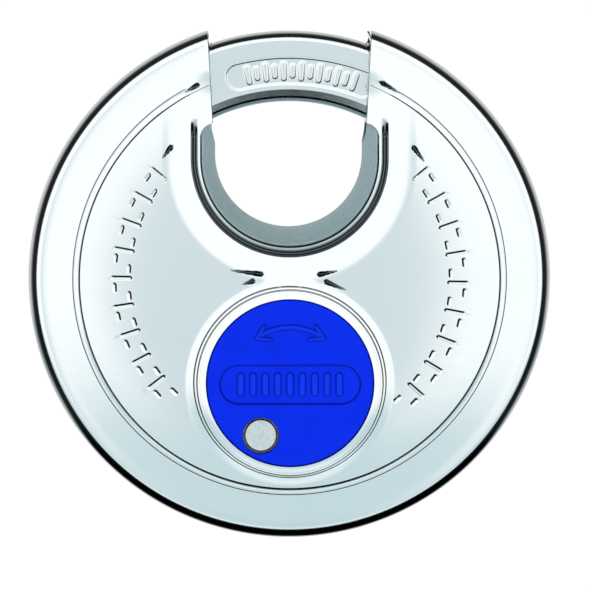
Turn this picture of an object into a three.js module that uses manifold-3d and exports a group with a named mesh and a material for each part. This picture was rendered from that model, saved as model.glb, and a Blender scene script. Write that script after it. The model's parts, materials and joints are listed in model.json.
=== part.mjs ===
// Disc padlock, 70 mm across, standing upright with its face towards -Y.
// Millimetres, +Z up. The origin is the hang point, the middle of the shackle's underside.
// Inside the group every sub-part is written about the disc's own centre.
import * as THREE from 'three';
import { mergeVertices } from 'three/addons/utils/BufferGeometryUtils.js';
import Module from 'manifold-3d';

const wasm = await Module();
wasm.setup();

// Driving dimensions
const SHEET = 1.2;              // thickness of the stamped shells
const GAP = 0.3;                // space left between pieces that rest on each other
const BODY_R = 35;              // outside of the disc
const RIM_ROUND = 1.7;          // rounding of the disc's rim
const RIM_DEPTH = 8.9;          // flat outer ring of the face, from the mid-plane
const STEP_OUTER_R = 29.1;      // foot of the step
const STEP_INNER_R = 28.05;     // top of the step
const PLATEAU_DEPTH = 9.9;      // face just inside the step
const DOME_DEPTH = 10.9;        // front face at the middle
const BACK_DEPTH = 10.2;        // flat middle of the back

const SHACKLE_INNER_R = 23.4;
const SHACKLE_OUTER_R = 33;
const SHACKLE_HALF = 4.8;       // half its thickness along Y
const SHACKLE_ROUND = 1.4;      // rounding of its inner edges
const SHACKLE_TRAVEL = 60;      // degrees from locked to open
const SHACKLE_TAIL = 3;         // angle of the end that stays inside
const CHANNEL_CLEAR = 0.3;      // space around the shackle in its channel
const CHANNEL_SIDE = 0.4;       // the same, in front of it and behind it

const NOTCH_Z = 16.2;           // centre of the notch's round bottom
const THROAT_R = 9.87;          // narrowest half-width, on the mid-plane
const LINER_MOUTH_R = 11.9;     // half-width at the liner's front and back edges
const LINER_R = 12.1;           // outside of the liner
const SHOULDER_R = 12.4;        // where the shell's rolled shoulder starts
const SHOULDER_END_R = 16.2;    // where the shoulder meets the face
const SHOULDER_DEPTH = 9.0;     // depth at which the shoulder starts
const SHOULDER_TOP_Z = 21;      // the round notch ends here and the plain mouth begins
const MOUTH_LOW = 10.4;         // half-width of the mouth where it begins
const MOUTH_HIGH = 11.05;       // half-width of the mouth at the rim

const BOSS_Z = -13.7;           // centre of the lock boss
const BOSS_BORE_R = 11.3;
const BOSS_TOP_R = 12.3;
const BOSS_WALL_R = 12.9;
const BOSS_FOOT_R = 13.9;
const BOSS_DEPTH = 13.05;       // top of the boss ring
const BOSS_LIP_DEPTH = 11.85;   // underside of the lip that holds the cover
const BOSS_SEAT_R = 12.1;       // bore behind the lip

const COVER_R = 11.15;
const COVER_FLANGE_R = 11.9;
const COVER_FRONT = 12.85;
const COVER_FLANGE_FRONT = 11.55;
const COVER_BACK = 11.1;
const COVER_ROOF = 12.4;        // roof of the groove that passes over the button
const WINDOW_ORBIT = 8.07;      // window, button and keyhole lie on this circle
const WINDOW_ANGLE = 241;
const WINDOW_R = 2.4;
const BUTTON_R = 2.15;
const BUTTON_FRONT = 12.25;
const PLATE_FRONT = 10.8;
const PLATE_BACK = 9.3;

const CORE_Z = BOSS_Z + WINDOW_ORBIT;
const HOUSING_R = 6.2;
const HOUSING_BORE_R = 4.35;
const HOUSING_BACK = 4.9;
const BARREL_R = 4.2;
const BARREL_BORE_R = 3.5;
const BARREL_FRONT = 8.8;
const BARREL_BACK = 4.7;
const BARREL_FLOOR = 3.4;       // bottom of the bore that holds the discs
const TANG_R = 1.9;             // drive tang behind the barrel
const TANG_END = 8.3;
const CAP_DEPTH = 0.9;
const DISC_COUNT = 6;
const DISC_R = 3.3;
const DISC_THICK = 1.2;
const SPACER_THICK = 0.36;
const STACK_GAP = 0.12;
const KEY_R = 1.45;             // radius of the half-round key channel
const SIDEBAR_WIDTH = 0.9;
const SIDEBAR_INNER = 3.56;
const SIDEBAR_OUTER = 4.1;

const RIVET_R = 1.2;
const RIVET_ORBIT = 28.2;
const GUIDE_INNER_R = 20.6;
const GUIDE_FROM = -60;         // angles that the guides span
const GUIDE_TO = 58;

const GEAR_MODULE = 0.75;
const PINION_TEETH = 12;
const SECTOR_TEETH = 27;        // teeth that a full internal ring would have
const DRIVE_FRONT = 5.3;        // the drive lies behind the shackle, between these depths
const DRIVE_BACK = 7.2;
const SECTOR_START = -98;
const SECTOR_END = -22;
const SECTOR_RING_R = 13.4;

const STEEL = { color: 0xd9dddf, roughness: 0.2, metalness: 1 };
const HARD_STEEL = { color: 0xb9c0c4, roughness: 0.3, metalness: 1 };
const DARK_STEEL = { color: 0x6f8388, roughness: 0.5, metalness: 0.8 };
const BRASS = { color: 0xc9a24a, roughness: 0.35, metalness: 1 };
const BLUE = { color: 0x102fe1, roughness: 0.35, metalness: 0 };

const lock = new THREE.Group();
lock.position.z = -SHACKLE_INNER_R;

const radians = THREE.MathUtils.degToRad;

// A point in the disc's plane, from a radius and an angle in degrees from +X towards +Z.
function polar(radius, degrees) {
  return new THREE.Vector2(radius * Math.cos(radians(degrees)), radius * Math.sin(radians(degrees)));
}

// Closed geometry to manifold solid, turned the right way out.
function solid(geometry) {
  const bare = geometry.clone();
  bare.deleteAttribute('normal');
  bare.deleteAttribute('uv');
  const merged = mergeVertices(bare, 1e-4);
  const position = merged.attributes.position;
  const index = Uint32Array.from(merged.index.array);
  const a = new THREE.Vector3();
  const b = new THREE.Vector3();
  const c = new THREE.Vector3();
  let volume = 0;
  for (let i = 0; i < index.length; i += 3) {
    a.fromBufferAttribute(position, index[i]);
    b.fromBufferAttribute(position, index[i + 1]);
    c.fromBufferAttribute(position, index[i + 2]);
    volume += a.dot(b.cross(c));
  }
  if (volume < 0) {
    for (let i = 0; i < index.length; i += 3) {
      [index[i + 1], index[i + 2]] = [index[i + 2], index[i + 1]];
    }
  }
  const mesh = new wasm.Mesh({
    numProp: 3,
    vertProperties: Float32Array.from(position.array),
    triVerts: index,
  });
  return new wasm.Manifold(mesh);
}

// Manifold solid back to a geometry with flat normals.
function geometryOf(manifold) {
  const mesh = manifold.getMesh();
  const geometry = new THREE.BufferGeometry();
  geometry.setAttribute('position', new THREE.BufferAttribute(mesh.vertProperties, 3));
  geometry.setIndex(new THREE.BufferAttribute(mesh.triVerts, 1));
  geometry.computeVertexNormals();
  return geometry;
}

function addPart(name, manifold, finish) {
  const mesh = new THREE.Mesh(geometryOf(manifold), new THREE.MeshStandardMaterial(finish));
  mesh.name = name;
  lock.add(mesh);
}

// Solid of revolution about the Y axis through (0, z), from [radius, y] corners on or off the axis.
function turned(corners, z = 0, segments = 72) {
  const profile = corners.map(([radius, y]) => new THREE.Vector2(radius, y));
  if (corners[0][0] > 0) {
    profile.push(profile[0].clone());
  }
  const geometry = new THREE.LatheGeometry(profile, segments);
  geometry.translate(0, 0, z);
  return solid(geometry);
}

// Cylinder along Y about (x, z), between two depths.
function rod(radius, yLow, yHigh, x = 0, z = 0, segments = 32) {
  const geometry = new THREE.CylinderGeometry(radius, radius, yHigh - yLow, segments);
  geometry.translate(x, (yLow + yHigh) / 2, z);
  return solid(geometry);
}

function box(xLow, xHigh, yLow, yHigh, zLow, zHigh) {
  const geometry = new THREE.BoxGeometry(xHigh - xLow, yHigh - yLow, zHigh - zLow);
  geometry.translate((xLow + xHigh) / 2, (yLow + yHigh) / 2, (zLow + zHigh) / 2);
  return solid(geometry);
}

// Outline in the disc's plane, extruded along Y between two depths.
function plate(points, yLow, yHigh) {
  const shape = new THREE.Shape(points);
  const geometry = new THREE.ExtrudeGeometry(shape, { depth: yHigh - yLow, bevelEnabled: false });
  geometry.rotateX(Math.PI / 2);
  geometry.translate(0, yHigh, 0);
  return solid(geometry);
}

// Outline of part of a ring, both edges stepped in equal angles.
function sectorOutline(innerR, outerR, from, to, step = 4) {
  const count = Math.ceil(Math.abs(to - from) / step);
  const outer = [];
  const inner = [];
  for (let i = 0; i <= count; i++) {
    const angle = from + ((to - from) * i) / count;
    outer.push(polar(outerR, angle));
    inner.unshift(polar(innerR, angle));
  }
  return [...outer, ...inner];
}

// Half-width w at the bottom, straight sides up to the top height.
function notchOutline(halfWidth, topZ, topHalfWidth = halfWidth) {
  const points = [new THREE.Vector2(-topHalfWidth, topZ)];
  const steps = 24;
  for (let i = 0; i <= steps; i++) {
    const point = polar(halfWidth, 180 + (180 * i) / steps);
    points.push(new THREE.Vector2(point.x, point.y + NOTCH_Z));
  }
  points.push(new THREE.Vector2(topHalfWidth, topZ));
  return points;
}

// Solid lofted through outlines with equal numbers of points, one for each depth.
function loft(outlines, depths) {
  const count = outlines[0].length;
  const positions = [];
  outlines.forEach((outline, level) => {
    outline.forEach((point) => positions.push(point.x, depths[level], point.y));
  });
  const index = [];
  for (let level = 0; level + 1 < outlines.length; level++) {
    for (let i = 0; i < count; i++) {
      const here = level * count + i;
      const next = level * count + ((i + 1) % count);
      index.push(here, next, next + count);
      index.push(here, next + count, here + count);
    }
  }
  const last = (outlines.length - 1) * count;
  THREE.ShapeUtils.triangulateShape(outlines[0], []).forEach(([a, b, c]) => {
    index.push(a, c, b);
    index.push(last + a, last + b, last + c);
  });
  const geometry = new THREE.BufferGeometry();
  geometry.setAttribute('position', new THREE.Float32BufferAttribute(positions, 3));
  geometry.setIndex(index);
  return solid(geometry);
}

// Space taken out of the shells for the notch. extra widens it by a wall's thickness.
function notchCutter(extra) {
  const depths = [];
  const widths = [];
  const steps = 6;
  for (let i = 0; i <= steps; i++) {
    const turn = (Math.PI / 2) * (i / steps);
    depths.push(SHOULDER_DEPTH + (DOME_DEPTH + 0.15 - SHOULDER_DEPTH) * Math.sin(turn));
    widths.push(SHOULDER_END_R + extra - (SHOULDER_END_R - SHOULDER_R) * Math.cos(turn));
  }
  depths[steps] += 2;
  widths[steps] += 0.4;
  const allDepths = [...depths.map((depth) => -depth).reverse(), ...depths];
  const allWidths = [...[...widths].reverse(), ...widths];
  const top = SHOULDER_TOP_Z + extra;
  const lower = loft(allWidths.map((width) => notchOutline(width, top)), allDepths);
  const mouth = plate([
    new THREE.Vector2(-MOUTH_LOW - extra, SHOULDER_TOP_Z - 4),
    new THREE.Vector2(MOUTH_LOW + extra, SHOULDER_TOP_Z - 4),
    new THREE.Vector2(MOUTH_HIGH + extra, BODY_R + 2),
    new THREE.Vector2(-MOUTH_HIGH - extra, BODY_R + 2),
  ], -20, 20);
  return lower.add(mouth);
}

// Half profile of one shell's outside, from the mid-plane rim to the middle; inset moves it inwards.
function shellProfile(side, inset) {
  const middle = side < 0 ? DOME_DEPTH : BACK_DEPTH;
  const plateau = side < 0 ? PLATEAU_DEPTH : BACK_DEPTH;
  const edge = side * GAP / 2;
  const corners = [[0, edge], [BODY_R - inset, edge]];
  const roundSteps = 3;
  const roundR = Math.max(RIM_ROUND - inset, 0.5);
  for (let i = 0; i <= roundSteps; i++) {
    const turn = (Math.PI / 2) * (i / roundSteps);
    corners.push([
      BODY_R - inset - roundR + roundR * Math.cos(turn),
      side * (RIM_DEPTH - inset - roundR + roundR * Math.sin(turn)),
    ]);
  }
  corners.push([STEP_OUTER_R - inset / 2, side * (RIM_DEPTH - inset)]);
  corners.push([STEP_INNER_R - inset / 2, side * (plateau - inset)]);
  const domeSteps = side < 0 ? 4 : 1;
  for (let i = 1; i <= domeSteps; i++) {
    const share = 1 - i / domeSteps;
    const depth = middle - (middle - plateau) * share * share;
    corners.push([(STEP_INNER_R - inset / 2) * share, side * (depth - inset)]);
  }
  return corners;
}

// Channel that the shackle turns in, seen by the shells and the liner.
function shackleChannel(clearance) {
  const side = SHACKLE_HALF + CHANNEL_SIDE;
  return turned([
    [SHACKLE_INNER_R - clearance, -side],
    [SHACKLE_OUTER_R + clearance, -side],
    [SHACKLE_OUTER_R + clearance, side],
    [SHACKLE_INNER_R - clearance, side],
  ], 0, 120);
}

function shell(side) {
  const outer = turned(shellProfile(side, 0)).subtract(notchCutter(0));
  const inner = turned(shellProfile(side, SHEET).map(([radius, y], i) => [radius, i < 2 ? y - side : y]));
  return outer.subtract(inner.subtract(notchCutter(SHEET))).subtract(shackleChannel(CHANNEL_CLEAR));
}

// Ring that stands up around the cover, with a lip that holds it in.
function lockBoss() {
  return turned([
    [BOSS_BORE_R - 1.5, -PLATE_BACK],
    [BOSS_FOOT_R, -PLATE_BACK],
    [BOSS_FOOT_R, -DOME_DEPTH + 0.35],
    [BOSS_WALL_R + 0.2, -DOME_DEPTH - 0.35],
    [BOSS_WALL_R, -BOSS_DEPTH + 0.5],
    [BOSS_TOP_R, -BOSS_DEPTH],
    [BOSS_BORE_R - 1.5, -BOSS_DEPTH],
  ], BOSS_Z);
}

function frontShell() {
  const bore = rod(BOSS_BORE_R, -20, -5, 0, BOSS_Z, 72);
  const seat = rod(BOSS_SEAT_R, -BOSS_LIP_DEPTH, -5, 0, BOSS_Z, 72);
  const boss = lockBoss().subtract(notchCutter(0.2));
  return shell(-1).add(boss).subtract(bore).subtract(seat);
}

// Sleeve around the notch: narrow in the middle, wider at its front and back edges.
function notchLiner() {
  const half = SHOULDER_DEPTH - GAP;
  const top = SHOULDER_TOP_Z - GAP;
  const outside = plate(notchOutline(LINER_R, top), -half, half);
  const steps = 8;
  const depths = [];
  const outlines = [];
  for (let i = 0; i <= steps; i++) {
    const depth = -half - 0.2 + ((2 * half + 0.4) * i) / steps;
    const flare = (LINER_MOUTH_R - THROAT_R) * (depth / half) ** 2;
    depths.push(depth);
    outlines.push(notchOutline(THROAT_R + flare * 0.95, top + 2));
  }
  const aperture = shackleChannel(3);
  return outside.subtract(loft(outlines, depths)).subtract(aperture);
}

function shackle() {
  const round = SHACKLE_ROUND;
  const small = 0.6;
  const ring = turned([
    [SHACKLE_INNER_R, -SHACKLE_HALF + round],
    [SHACKLE_INNER_R + round, -SHACKLE_HALF],
    [SHACKLE_OUTER_R - small, -SHACKLE_HALF],
    [SHACKLE_OUTER_R, -SHACKLE_HALF + small],
    [SHACKLE_OUTER_R, SHACKLE_HALF - small],
    [SHACKLE_OUTER_R - small, SHACKLE_HALF],
    [SHACKLE_INNER_R + round, SHACKLE_HALF],
    [SHACKLE_INNER_R, SHACKLE_HALF - round],
  ], 0, 120);
  const keep = plate([
    new THREE.Vector2(0, 0),
    polar(60, SHACKLE_TAIL),
    polar(60, 50),
    polar(60, 100),
    polar(60, 150),
  ], -10, 10);
  // When the shackle is open its tip lies flush with the mouth's edge.
  const tip = new THREE.BoxGeometry(40, 20, 80);
  tip.translate(MOUTH_LOW + 0.2 - 20, 0, 0);
  tip.rotateY(-radians(SHACKLE_TRAVEL));
  const tipSide = box(-60, 0, -10, 10, -60, 60);
  const rivetHoles = rivetPlaces().map(({ x, y }) => rod(RIVET_R + 0.1, -2.3, 10, x, y, 16));
  return rivetHoles.reduce(
    (body, hole) => body.subtract(hole),
    ring.intersect(keep).subtract(solid(tip).intersect(tipSide)),
  );
}

function rivetPlaces() {
  return [polar(RIVET_ORBIT, 8), polar(RIVET_ORBIT, 17)];
}

// Outline of a gear with straight-flanked teeth. Inwards makes an internal gear's opening.
function gearOutline(teeth, inwards, from = 0) {
  const pitchR = (GEAR_MODULE * teeth) / 2;
  const tipR = pitchR + GEAR_MODULE * (inwards ? -0.8 : 0.8);
  const rootR = pitchR + GEAR_MODULE * (inwards ? 1.1 : -1.15);
  const pitch = 360 / teeth;
  const points = [];
  for (let i = 0; i < teeth; i++) {
    const middle = from + i * pitch;
    points.push(polar(rootR, middle - pitch * 0.3));
    points.push(polar(tipR, middle - pitch * 0.11));
    points.push(polar(tipR, middle + pitch * 0.11));
    points.push(polar(rootR, middle + pitch * 0.3));
  }
  return points;
}

function corePinion() {
  const gear = plate(gearOutline(PINION_TEETH, false, -90), DRIVE_FRONT, DRIVE_BACK);
  return gear.translate([0, 0, CORE_Z]).subtract(rod(TANG_R + 0.1, 0, 20, 0, CORE_Z, 24));
}

// Plate behind the shackle: an arm out to the shackle's tail and an internal gear sector.
function shackleCarrier() {
  const ring = plate(
    sectorOutline(9, SECTOR_RING_R, SECTOR_START, SECTOR_END),
    DRIVE_FRONT,
    DRIVE_BACK,
  );
  const halfPitch = 180 / SECTOR_TEETH;
  const opening = plate(gearOutline(SECTOR_TEETH, true, -90 + halfPitch), 0, 20);
  const arm = plate([
    polar(13, -46),
    polar(20, -22),
    polar(31, 4.5),
    polar(32, 12),
    polar(31, 21),
    polar(25, 21),
    polar(17, -3),
    polar(11.5, -24),
    polar(11.5, -40),
  ], DRIVE_FRONT, DRIVE_BACK);
  const holes = rivetPlaces().map(({ x, y }) => rod(RIVET_R + 0.1, 0, 20, x, y, 16));
  return holes.reduce((body, hole) => body.subtract(hole), ring.subtract(opening).add(arm));
}

function carrierRivet({ x, y }) {
  return rod(RIVET_R, -2, DRIVE_BACK - 0.05, x, y, 16);
}

// Block in the left of the case that receives the shackle's tip.
function socketBlock() {
  const reach = RIM_DEPTH - SHEET - GAP;
  const block = plate(sectorOutline(GUIDE_INNER_R, BODY_R - SHEET - GAP, 112, 142), -reach, reach);
  const pocket = shackleChannel(CHANNEL_CLEAR).intersect(
    plate([new THREE.Vector2(0, 0), polar(60, 136), polar(60, 100), polar(60, 60)], -10, 10),
  );
  return block.subtract(pocket).subtract(wallSpace());
}

// Room for the shells' notch walls, kept clear of the inner blocks.
function wallSpace() {
  return plate(notchOutline(SHOULDER_R + SHEET + GAP, 60), -20, 20);
}

// Curved rail that the shackle slides on, inside its bend.
function innerGuide() {
  const front = RIM_DEPTH - SHEET - GAP;
  return plate(sectorOutline(GUIDE_INNER_R, SHACKLE_INNER_R - CHANNEL_CLEAR, GUIDE_FROM, GUIDE_TO), -front, 5)
    .subtract(wallSpace());
}

// Plate between the shackle and the front shell.
function frontGuide() {
  const front = RIM_DEPTH - SHEET - GAP;
  return plate(
    sectorOutline(SHACKLE_INNER_R, SHACKLE_OUTER_R, GUIDE_FROM, GUIDE_TO),
    -front,
    -SHACKLE_HALF - GAP,
  ).subtract(wallSpace());
}

// Fixed pin that the tail of the shackle meets when it is fully open.
function stopPin() {
  const place = polar(RIVET_ORBIT, SHACKLE_TAIL - SHACKLE_TRAVEL - 4.5);
  return rod(1.5, -4.6, 4.6, place.x, place.y, 20);
}

function windowPlace() {
  const place = polar(WINDOW_ORBIT, WINDOW_ANGLE);
  return new THREE.Vector2(place.x, place.y + BOSS_Z);
}

// Turning cover over the keyhole, with a groove behind it that passes over the button.
function keyholeCover() {
  const disc = turned([
    [0, -COVER_FRONT],
    [COVER_R - 0.25, -COVER_FRONT],
    [COVER_R, -COVER_FRONT + 0.25],
    [COVER_R, -COVER_FLANGE_FRONT],
    [COVER_FLANGE_R, -COVER_FLANGE_FRONT],
    [COVER_FLANGE_R, -COVER_BACK],
    [0, -COVER_BACK],
  ], BOSS_Z);
  const groove = turned([
    [WINDOW_ORBIT - 2.6, -COVER_ROOF],
    [WINDOW_ORBIT + 2.6, -COVER_ROOF],
    [WINDOW_ORBIT + 2.6, 0],
    [WINDOW_ORBIT - 2.6, 0],
  ], BOSS_Z);
  const place = windowPlace();
  return disc.subtract(groove).subtract(rod(WINDOW_R, -20, 0, place.x, place.y));
}

function indexButton() {
  const place = windowPlace();
  const button = turned([
    [0, -BUTTON_FRONT],
    [BUTTON_R - 0.35, -BUTTON_FRONT],
    [BUTTON_R, -BUTTON_FRONT + 0.3],
    [BUTTON_R, -PLATE_FRONT - 0.1],
    [0, -PLATE_FRONT - 0.1],
  ], place.y, 32);
  return button.translate([place.x, 0, 0]);
}

// Half-round key channel through the core, between two depths.
function keyChannel(yLow, yHigh) {
  const channel = rod(KEY_R, yLow, yHigh, 0, CORE_Z, 24);
  return channel.subtract(box(-5, 5, -30, 30, CORE_Z + KEY_R * 0.35, CORE_Z + 10));
}

function drillPlate() {
  return rod(COVER_FLANGE_R, -PLATE_FRONT, -PLATE_BACK, 0, BOSS_Z, 48)
    .subtract(rod(KEY_R + 0.35, -20, 0, 0, CORE_Z, 24));
}

function coreHousing() {
  const groove = box(0, HOUSING_BORE_R + 0.55, -7.9, 3.4, CORE_Z - 0.6, CORE_Z + 0.6);
  return rod(HOUSING_R, -PLATE_BACK + GAP, HOUSING_BACK, 0, CORE_Z, 48)
    .subtract(rod(HOUSING_BORE_R, -20, 20, 0, CORE_Z, 48))
    .subtract(groove);
}

function coreBarrel() {
  const slotWidth = SIDEBAR_WIDTH / 2 + 0.12;
  const slot = box(0, 10, -7.7, 3.2, CORE_Z - slotWidth, CORE_Z + slotWidth);
  return turned([
    [BARREL_BORE_R, -BARREL_FRONT],
    [BARREL_R, -BARREL_FRONT],
    [BARREL_R, BARREL_BACK],
    [TANG_R, BARREL_BACK],
    [TANG_R, TANG_END],
    [0.6, TANG_END],
    [0.6, BARREL_FLOOR],
    [BARREL_BORE_R, BARREL_FLOOR],
  ], CORE_Z, 48).subtract(slot);
}

function coreCap() {
  const front = -BARREL_FRONT + 0.02;
  return rod(DISC_R, front, front + CAP_DEPTH, 0, CORE_Z, 48).subtract(keyChannel(-20, 0));
}

// Depth of the front of the nth disc or, with a spacer, the front of the spacer behind it.
function stackDepth(index, spacer) {
  const pitch = DISC_THICK + SPACER_THICK + 2 * STACK_GAP;
  const first = -BARREL_FRONT + CAP_DEPTH + 0.25;
  return first + index * pitch + (spacer ? DISC_THICK + STACK_GAP : 0);
}

// Each disc's notch sits at its own angle, which is the key's code.
function keyDisc(index) {
  const front = stackDepth(index, false);
  const code = 40 + 20 * ((index * 2) % 5);
  const notch = polar(DISC_R + 0.2, code);
  return rod(DISC_R, front, front + DISC_THICK, 0, CORE_Z, 40)
    .subtract(keyChannel(front - 1, front + 3))
    .subtract(rod(0.65, -20, 20, notch.x, CORE_Z + notch.y, 16));
}

function discSpacer(index) {
  const front = stackDepth(index, true);
  return rod(DISC_R, front, front + SPACER_THICK, 0, CORE_Z, 40)
    .subtract(rod(KEY_R + 0.4, -20, 20, 0, CORE_Z, 24));
}

function sidebar() {
  return box(
    SIDEBAR_INNER,
    SIDEBAR_OUTER,
    -7.5,
    3.0,
    CORE_Z - SIDEBAR_WIDTH / 2,
    CORE_Z + SIDEBAR_WIDTH / 2,
  );
}

function rearBearing() {
  return rod(HOUSING_R, DRIVE_BACK + GAP, TANG_END, 0, CORE_Z, 40)
    .subtract(rod(TANG_R + 0.1, 0, 20, 0, CORE_Z, 24));
}

addPart('front_shell', frontShell(), STEEL);
addPart('back_shell', shell(1), STEEL);
addPart('notch_liner', notchLiner(), DARK_STEEL);
addPart('shackle', shackle(), STEEL);
addPart('shackle_carrier', shackleCarrier(), HARD_STEEL);
rivetPlaces().forEach((place, i) => addPart(`carrier_rivet_${i + 1}`, carrierRivet(place), HARD_STEEL));
addPart('socket_block', socketBlock(), HARD_STEEL);
addPart('inner_guide', innerGuide(), HARD_STEEL);
addPart('front_guide', frontGuide(), HARD_STEEL);
addPart('stop_pin', stopPin(), HARD_STEEL);
addPart('keyhole_cover', keyholeCover(), BLUE);
addPart('index_button', indexButton(), STEEL);
addPart('drill_plate', drillPlate(), HARD_STEEL);
addPart('core_housing', coreHousing(), HARD_STEEL);
addPart('core_barrel', coreBarrel(), BRASS);
addPart('core_cap', coreCap(), HARD_STEEL);
for (let i = 0; i < DISC_COUNT; i++) {
  addPart(`key_disc_${i + 1}`, keyDisc(i), BRASS);
}
for (let i = 0; i + 1 < DISC_COUNT; i++) {
  addPart(`disc_spacer_${i + 1}`, discSpacer(i), HARD_STEEL);
}
addPart('sidebar', sidebar(), HARD_STEEL);
addPart('core_pinion', corePinion(), HARD_STEEL);
addPart('rear_bearing', rearBearing(), HARD_STEEL);

export default lock;
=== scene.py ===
"""Looks of the disc padlock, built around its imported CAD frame.

Shapes are worked out in millimetres about the disc's centre: x to the right, z up, and depth
forwards from the mid-plane. MM and DISC_Z turn them into the row frame's metres. A part of a mesh
is a tuple of its points, its faces and one normal for each point.
"""

import collections
import json
import math

import bpy
import numpy as np
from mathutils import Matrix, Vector
from mathutils.geometry import delaunay_2d_cdt


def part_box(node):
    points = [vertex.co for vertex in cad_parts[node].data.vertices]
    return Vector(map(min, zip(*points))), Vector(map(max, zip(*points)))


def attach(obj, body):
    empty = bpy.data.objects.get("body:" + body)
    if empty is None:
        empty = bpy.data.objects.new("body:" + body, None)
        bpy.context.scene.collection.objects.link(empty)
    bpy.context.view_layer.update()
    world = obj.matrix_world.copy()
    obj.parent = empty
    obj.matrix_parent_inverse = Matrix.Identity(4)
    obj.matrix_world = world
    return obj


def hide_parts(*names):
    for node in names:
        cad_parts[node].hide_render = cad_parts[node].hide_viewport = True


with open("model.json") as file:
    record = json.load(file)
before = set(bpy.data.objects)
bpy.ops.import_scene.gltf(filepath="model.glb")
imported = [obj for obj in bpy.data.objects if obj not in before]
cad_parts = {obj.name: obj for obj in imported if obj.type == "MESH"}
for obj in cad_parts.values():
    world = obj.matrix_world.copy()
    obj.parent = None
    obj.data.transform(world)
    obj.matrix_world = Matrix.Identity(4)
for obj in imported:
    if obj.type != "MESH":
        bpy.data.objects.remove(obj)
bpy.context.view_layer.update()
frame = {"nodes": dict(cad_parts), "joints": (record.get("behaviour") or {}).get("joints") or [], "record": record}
scene = bpy.context.scene
joints = {joint["name"]: joint for joint in frame["joints"]}

# ---------------------------------------------------------------- driving dimensions, mm
MM = 0.001
TINY = 1e-12
QUARTER = math.pi / 2
DISC_Z = joints["shackle_turn"]["pos_m"][2]
BOSS_Z = (joints["cover_turn"]["pos_m"][2] - DISC_Z) / MM


def box_mm(node):
    """A node's corners at rest, in millimetres about the disc's centre."""
    low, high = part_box(node)
    centre = Vector((0, 0, DISC_Z))
    return (low - centre) / MM, (high - centre) / MM


shell_low, shell_high = box_mm("front_shell")
shackle_high = box_mm("shackle")[1]
cover_low, cover_high = box_mm("keyhole_cover")
button_low, button_high = box_mm("index_button")

BODY_R = (shell_high.x - shell_low.x) / 2
BOSS_DEPTH = -shell_low.y
RIM_ROUND = 1.7
RIM_FLAT_R = BODY_R - RIM_ROUND
RING_DEPTH = 8.9  # flat ring of the face, at the rim
RING_RISE = 0.5  # how far it rises towards the step
STEP_OUTER_R = 29.1
STEP_INNER_R = 28.05
STEP_SHARE = 0.15  # share of the step's width that each of its two sharp edges takes
STEP_FIRST = 0.2  # share of its rise at the outer edge
STEP_MIDDLE = 0.17  # and on the slope between the two
STEP_BEND = 1.8
PLATEAU_DEPTH = 10.3
DOME_DEPTH = 11.3
DOME_BEND = 3
BACK_DEPTH = box_mm("back_shell")[1].y
SHEET = 0.9
SEAM_DEPTH = 0.12
RIM_ARC = RIM_ROUND * QUARTER
RIM_END = RIM_FLAT_R + RIM_ARC + RING_DEPTH - RIM_ROUND - SEAM_DEPTH
RIM_REACHES = np.concatenate([
    RIM_FLAT_R + np.linspace(0, RIM_ARC, 11),
    np.linspace(RIM_FLAT_R + RIM_ARC, RIM_END, 5)[1:],
])

NOTCH_Z = 16.2
LIP_R = 12.0
LIP_END_R = 12.3
LIP_SLOPE = 0.16  # fall of the shell's lip towards the notch
LIP_FADE_Z = 28  # the fall is gone at this height
LIP_FADE = 4
SHOULDER_R = 13.2
SHOULDER_END_R = 17.1
SHOULDER_RISE = 0.7
SHOULDER_BEND = 1.8
GROOVE_R = (LIP_END_R + SHOULDER_R) / 2
GROOVE_HALF = SHOULDER_R - GROOVE_R
GROOVE_CUT = 0.42
GROOVE_TOP_Z = 21.6
GROOVE_FADE = 2.2
MOUTH_LOW = 10.35  # half-width of the mouth at the tabs
MOUTH_HIGH = 11.05  # half-width near the rim
MOUTH_RIM_X = 11.0  # where the mouth's edge reaches the rim's rounding
MOUTH_RIM_SHARE = 0.95  # on the rounding, its height as a share of the radius
TAB_Z = 20.9
TAB_FOOT_Z = 19.2
APERTURE_R = 33.3
APERTURE_HALF = 5.2

BOSS_BORE_R = 11.3
BOSS_TOP_R = 12.4  # outer edge of the boss's sloping ring
BOSS_SLOPE = 0.22
BOSS_WALL_R = 12.9  # foot of its wall, where a gentle fillet starts
BOSS_FILLET = 0.12
BOSS_FILLET_BEND = 1.4
BOSS_STEP_SHARE = 0.2  # its wall falls by two sharp edges, as the disc's step does
BOSS_STEP_FIRST = 0.5
BOSS_STEP_MIDDLE = 0.03
BORE_COUNT = 200
BOSS_FOOT_R = 14.1
BOSS_LIP_END = 11.95  # depth where the bore's wall ends behind the cover

SHACKLE_INNER_R = 23.4
SHACKLE_OUTER_R = shackle_high.z
SHACKLE_HALF = shackle_high.y


# ---------------------------------------------------------------- mesh helpers
def unit(vectors):
    length = np.linalg.norm(vectors, axis=1, keepdims=True)
    return vectors / np.maximum(length, TINY)


def clamp(t):
    return np.clip(t, 0, 1)


def columns(*values):
    """Rows of numbers, and single numbers, as the columns of one array."""
    return np.stack(np.broadcast_arrays(*values), axis=1)


def circle(radius, turns, centre_z=0.0):
    return columns(radius * np.cos(turns), centre_z + radius * np.sin(turns))


def polar(radius, degrees):
    turn = math.radians(degrees)
    return np.array([radius * math.cos(turn), radius * math.sin(turn)])


def make_mesh(name, points, faces, corner_normals):
    """A smooth-shaded object in the row frame, with one normal for each face corner, in order."""
    placed = points * MM
    placed[:, 2] += DISC_Z
    mesh = bpy.data.meshes.new(name)
    mesh.from_pydata(placed.tolist(), [], [tuple(int(i) for i in f) for f in faces])
    mesh.update()
    mesh.shade_smooth()
    mesh.normals_split_custom_set([tuple(n) for n in corner_normals])
    piece = bpy.data.objects.new(name, mesh)
    scene.collection.objects.link(piece)
    return piece


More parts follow.
